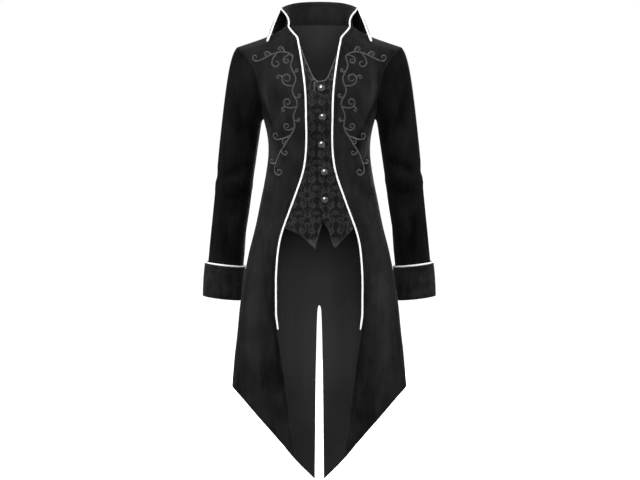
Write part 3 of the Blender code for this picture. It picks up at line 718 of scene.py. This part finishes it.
# How much the figure, the floating threads and the clouds lighten the brocade, and how much the
# painted shadow by the lap and the ground darken it
FIGURE_SHADE, FLOATS_SHADE, CLOUDS_SHADE, LAP_SHADOW_DEPTH = 0.65, 0.2, 1.3, 1.2
GROUND_SHADE = 0.78
FLOATS_SIZE, BROCADE_CLOUDS_SIZE = 0.0012, 0.035
FLOATS_RISE, BROCADE_RELIEF = 0.3, 0.0004


def woven_scroll(cloth, across, up, middle_across, middle_up, reach, tightness, hand):
    """1 on the arm of one scroll, which widens as it opens, and 0 off it."""
    beside = across - middle_across
    above = up - middle_up
    away = (beside * beside + above * above).root()
    turn = cloth.node("ShaderNodeMath", {"operation": "ARCTAN2"}, [above, beside])
    winding = turn * (hand / (2 * pi)) + (away / reach).log() * tightness
    arm = abs(winding % 1 - 0.5).between(*ARM_EDGES)
    return arm * away.between(reach, reach * ARM_ENDS_AT)


brocade = Finish("Black brocade", {"Specular IOR Level": 0.35, "Sheen Weight": 0.08})
brocade_place = brocade.place()
side_to_side = brocade.part_of(brocade_place, "X")
upwards = brocade.part_of(brocade_place, "Z")
sway = brocade.noise(brocade_place, SWAY_SIZE) * SWAY
across_tile = abs((side_to_side + sway) % TILE_WIDTH - TILE_WIDTH / 2)
up_tile = (upwards + sway) % TILE_HEIGHT
vine = across_tile - VINE_AT - (up_tile * (2 * pi / TILE_HEIGHT)).sine() * VINE_SWING
figure = abs(vine).between(*VINE_EDGES)
for scroll_sizes in WOVEN_SCROLLS:
    figure = figure.most(woven_scroll(brocade, across_tile, up_tile, *scroll_sizes))
floats = brocade.noise(brocade_place, FLOATS_SIZE, stretch=(3, 1, 1))
brocade_clouds = brocade.noise(brocade_place, BROCADE_CLOUDS_SIZE, detail=3)
from_edge = brocade.node("ShaderNodeAttribute", {"attribute_name": "from_edge"}, {}, "Fac")
by_neckline = upwards.between(NECKLINE_BOTTOM - NECKLINE_FADE, NECKLINE_BOTTOM)
by_lap = abs(side_to_side).between(LAP_REACH, LAP_REACH - LAP_FADE) * (1 - by_neckline)
by_lap = by_lap * upwards.between(LAP_BOTTOM - LAP_FADE, LAP_BOTTOM)
bound = from_edge.between(*BOUND) * (by_neckline + (1 - by_lap) * BOUND_ELSEWHERE).least(1)
# A painted shadow along the edge where the left front laps over the right one
lap_shadow = from_edge.between(*LAP_SHADOW) * by_lap
shade = figure * FIGURE_SHADE + floats * FLOATS_SHADE + brocade_clouds * CLOUDS_SHADE
shade = shade - lap_shadow * LAP_SHADOW_DEPTH - GROUND_SHADE
plain = brocade.mix(shade, grey(0.0010), grey(0.0200))
brocade.set("Base Color", brocade.mix(bound, plain, grey(0.065)))
brocade.set("Roughness", 0.8 - figure * 0.25)
brocade.raise_by(figure + floats * FLOATS_RISE - lap_shadow, BROCADE_RELIEF)

for name in ("left", "right"):
    waistcoat = cloth_from(f"waistcoat_{name}", f"cloth_waistcoat_{name}")
    finish_cloth(waistcoat, body_axis, [], brocade.material, satin.material)


# The piping: white satin bias strip over a soft cord, sewn into the free edges of the fronts,
# round the collar and round the top of each cuff.

# The rounding leaves the six-sided cords this much thinner, so they are first made thicker
ROUNDING_LOSS = 0.00037
WHITE_WEAVE_SIZE, WHITE_RELIEF = 0.0008, 0.0002

white_satin = Finish("White satin piping", {"Specular IOR Level": 0.4, "Sheen Weight": 0.2})
white_place = white_satin.place()
white_weave = white_satin.noise(white_place, WHITE_WEAVE_SIZE)
white_satin.set("Base Color", white_satin.mix(white_weave, grey(0.66, 0.005), grey(0.80)))
white_satin.set("Roughness", 0.5 + white_weave * 0.1)
white_satin.raise_by(white_weave, WHITE_RELIEF)

# Where the cords of a front and of the collar end at the left notch, short of each other. The ends
# within this reach are drawn this share of the way to each other, so that they overlap
NOTCH_FRONT = Vector((0.0755, -0.0240, 0.0044))
NOTCH_COLLAR = Vector((0.0770, -0.0222, 0.0111))
NOTCH_REACH = 0.004
OVERLAP = 0.6
# Rounding draws in the cord's sharp turn at the fall's tip, so the points this near the tip are
# first drawn out by this much
TIP_CORNER = 0.006
CORNER_LOSS = Vector((0.0020, -0.0036, -0.0056))

for name in ("front_left", "front_right", "collar", "cuff_left", "cuff_right"):
    piping = cloth_from(f"piping_{name}", f"cord_{name}")
    here, there = (NOTCH_COLLAR, NOTCH_FRONT) if name == "collar" else (NOTCH_FRONT, NOTCH_COLLAR)
    for vertex in piping.data.vertices:
        if from_left(vertex, here) < NOTCH_REACH:
            shift(vertex, (there - here) * OVERLAP)
        if name == "collar" and from_left(vertex, TIP) < TIP_CORNER:
            shift(vertex, CORNER_LOSS)
    if name == "collar":
        lay_tips(piping)
    only(piping)
    bpy.ops.object.mode_set(mode="EDIT")
    bpy.ops.mesh.select_all(action="SELECT")
    bpy.ops.transform.shrink_fatten(value=ROUNDING_LOSS)
    bpy.ops.object.mode_set(mode="OBJECT")
    round_off(piping)
    if "front" in name:
        crease(piping, body_axis, ALL_BODY_CREASES)
    piping.data.materials.append(white_satin.material)
    piping.data.shade_smooth()


# The embroidery: scrolls of matt grey thread in close satin stitch over each side of the chest,
# an undulating stem with volutes and tendrils that spread to the shoulder and to the waist.

# A worked line's half width and its height as a share of that, and the length of one stitch
THREAD_RADIUS = 0.0018
THREAD_FLATNESS = 0.35
STITCH = 0.0005
THREAD_MARKS_SIZE, THREAD_RELIEF = 0.004, 0.0002
# The distance between two points of a line, and how finely a smooth line is first worked out
STEP = 0.0015
CURVE_STEPS = 24
# The stem's points from the top, as distances from the coat's middle and heights
STEM = [
    (0.0640, -0.070),
    (0.0690, -0.094),
    (0.0570, -0.124),
    (0.0650, -0.154),
    (0.0530, -0.184),
    (0.0620, -0.214),
    (0.0600, -0.243),
    (0.0790, -0.276),
    (0.0980, -0.306),
    (0.1090, -0.336),
]
# Each scroll grows from a line already drawn, at a share of its length, and turns away from that
# line's heading. Its bend, in turns per metre, changes evenly from its start to its tip.
SCROLLS = [
    ("crown", "stem", 0.0, 134, 0.086, -6.5, 1.5),
    ("crown_tip", "crown", 1.0, 0, 0.048, -1.0, 43.0),
    ("crown_spray", "crown", 0.50, -44, 0.068, 4.0, -32.0),
    ("crown_leaf", "crown", 0.30, 74, 0.036, 2.0, -60.0),
    ("crown_bud", "crown", 0.68, 74, 0.036, 2.0, -60.0),
    ("neck_curl", "crown", 0.08, -52, 0.054, 1.0, -42.0),
    ("breast", "stem", 0.26, 56, 0.088, 3.0, 25.0),
    ("breast_leaf", "breast", 0.46, -52, 0.030, -2.0, -66.0),
    ("edge_one", "stem", 0.13, -40, 0.028, 4.0, -84.0),
    ("edge_two", "stem", 0.36, -40, 0.032, 4.0, -76.0),
    ("rib", "stem", 0.45, 54, 0.078, 0.0, 31.0),
    ("rib_leaf", "rib", 0.36, -54, 0.028, -2.0, -72.0),
    ("edge_three", "stem", 0.56, -40, 0.032, 4.0, -76.0),
    ("waist", "stem", 0.63, 42, 0.060, 0.0, 40.0),
    ("side", "stem", 0.70, 26, 0.030, 2.0, 2.0),
    ("side_tip", "side", 1.0, 0, 0.044, 2.0, 42.0),
    ("side_leaf", "side", 0.70, -52, 0.030, -2.0, -60.0),
    ("hip_leaf", "stem", 0.86, -54, 0.034, 0.0, -56.0),
    ("end", "stem", 1.0, 0, 0.060, -2.0, -36.0),
    ("end_leaf", "stem", 0.97, 46, 0.032, 0.0, 60.0),
]
# Lines that go on in another one, so that they don't taper as the free tips do, and how much and
# over how many points those taper
CONTINUED = {parent for _, parent, share, *_ in SCROLLS if share == 1.0}
TIP_TAPER = 0.45
TAPER_STEPS = 14


def smooth_line(points):
    """Evenly spaced points along a smooth curve through the given ones."""
    points = [Vector(p) for p in points]
    ends = [points[0] * 2 - points[1], *points, points[-1] * 2 - points[-2]]
    dense = []
    for a, b, c, d in zip(ends, ends[1:], ends[2:], ends[3:]):
        for k in range(CURVE_STEPS):
            t = k / CURVE_STEPS
            cubed = (b * 3 - a - c * 3 + d) * t**3
            dense.append((b * 2 + (c - a) * t + (a * 2 - b * 5 + c * 4 - d) * t**2 + cubed) / 2)
    dense.append(points[-1])
    line = [dense[0]]
    for point in dense:
        while (point - line[-1]).length > STEP:
            line.append(line[-1] + (point - line[-1]).normalized() * STEP)
    return line


def scroll(start, heading, length, bend_from, bend_to):
    """Points along a line that starts on a heading and whose bend changes evenly."""
    line = [start]
    steps = round(length / STEP)
    for k in range(steps):
        heading += 2 * pi * (bend_from + (bend_to - bend_from) * k / steps) * STEP
        line.append(line[-1] + Vector((cos(heading), sin(heading))) * STEP)
    return line


drawing = {"stem": smooth_line(STEM)}
for name, parent, share, turn, length, bend_from, bend_to in SCROLLS:
    line = drawing[parent]
    at = min(len(line) - 2, round(share * (len(line) - 1)))
    along = line[at + 1] - line[at]
    heading = atan2(along.y, along.x) + radians(turn)
    drawing[name] = scroll(line[at], heading, length, bend_from, bend_to)

thread = Finish("Grey embroidery thread", {"Specular IOR Level": 0.3, "Sheen Weight": 0.3})
thread_place = thread.place()
thread_shade = thread.noise(thread_place, THREAD_MARKS_SIZE, detail=3)
along_thread = thread.node("ShaderNodeAttribute", {"attribute_name": "along_thread"}, {}, "Fac")
stitches = (along_thread * (2 * pi / STITCH)).sine()
thread.set("Base Color", thread.mix(thread_shade, grey(0.018), grey(0.046)))
thread.set("Roughness", 0.55 + thread_shade * 0.2)
thread.raise_by(stitches * 0.5 + thread_shade, THREAD_RELIEF)

for side, name in ((LEFT, "left"), (RIGHT, "right")):
    panel = body["front", name]
    form = form_of(panel.data)
    shape = bpy.data.curves.new(f"scrolls_{name}", "CURVE")
    shape.dimensions = "3D"
    shape.bevel_depth = THREAD_RADIUS
    shape.bevel_resolution = 1
    shape.use_fill_caps = False
    lengths = []
    for part, line in drawing.items():
        tip_taper = 0 if part in CONTINUED else TIP_TAPER
        found = [form.ray_cast(Vector((side * p.x, -1, p.y)), Vector((0, 1, 0)))[0] for p in line]
        found = [point for point in found if point]
        spline = shape.splines.new("POLY")
        spline.points.add(len(found) - 1)
        for k, point in enumerate(found):
            spline.points[k].co = (*point, 1)
            to_tip = len(found) - 1 - k
            spline.points[k].radius = 1 - tip_taper * max(0, 1 - to_tip / TAPER_STEPS)
        lengths += [k * STEP for k in range(len(found))]
    scrolls = bpy.data.objects.new(f"scrolls_{name}", shape)
    bpy.context.scene.collection.objects.link(scrolls)
    only(scrolls)
    bpy.ops.object.convert(target="MESH")
    scrolls = bpy.context.object
    ring = len(scrolls.data.vertices) // len(lengths)
    stored = scrolls.data.attributes.new("along_thread", "FLOAT", "POINT")
    stored.data.foreach_set("value", [length for length in lengths for _ in range(ring)])
    for vertex in scrolls.data.vertices:
        foot, normal, _, _ = form.find_nearest(vertex.co)
        vertex.co -= normal * ((vertex.co - foot).dot(normal) * (1 - THREAD_FLATNESS))
    scrolls.data.materials.append(thread.material)
    scrolls.data.shade_smooth()
    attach(scrolls, "root")


# The buttons: five domed shank buttons of polished silver-coloured metal.
BUTTON_COUNT = 5
WEAR_SIZE = 0.003

silver = Finish("Silver metal", {"Metallic": 1.0})
silver_place = silver.place()
silver_wear = silver.noise(silver_place, WEAR_SIZE, detail=3)
silver.set("Base Color", silver.mix(silver_wear, grey(0.55), grey(0.68)))
silver.set("Roughness", 0.24 + silver_wear * 0.1)

for number in range(1, BUTTON_COUNT + 1):
    button = cloth_from(f"button_{number}", f"domed_button_{number}")
    round_off(button)
    button.data.materials.append(silver.material)
    button.data.shade_smooth()
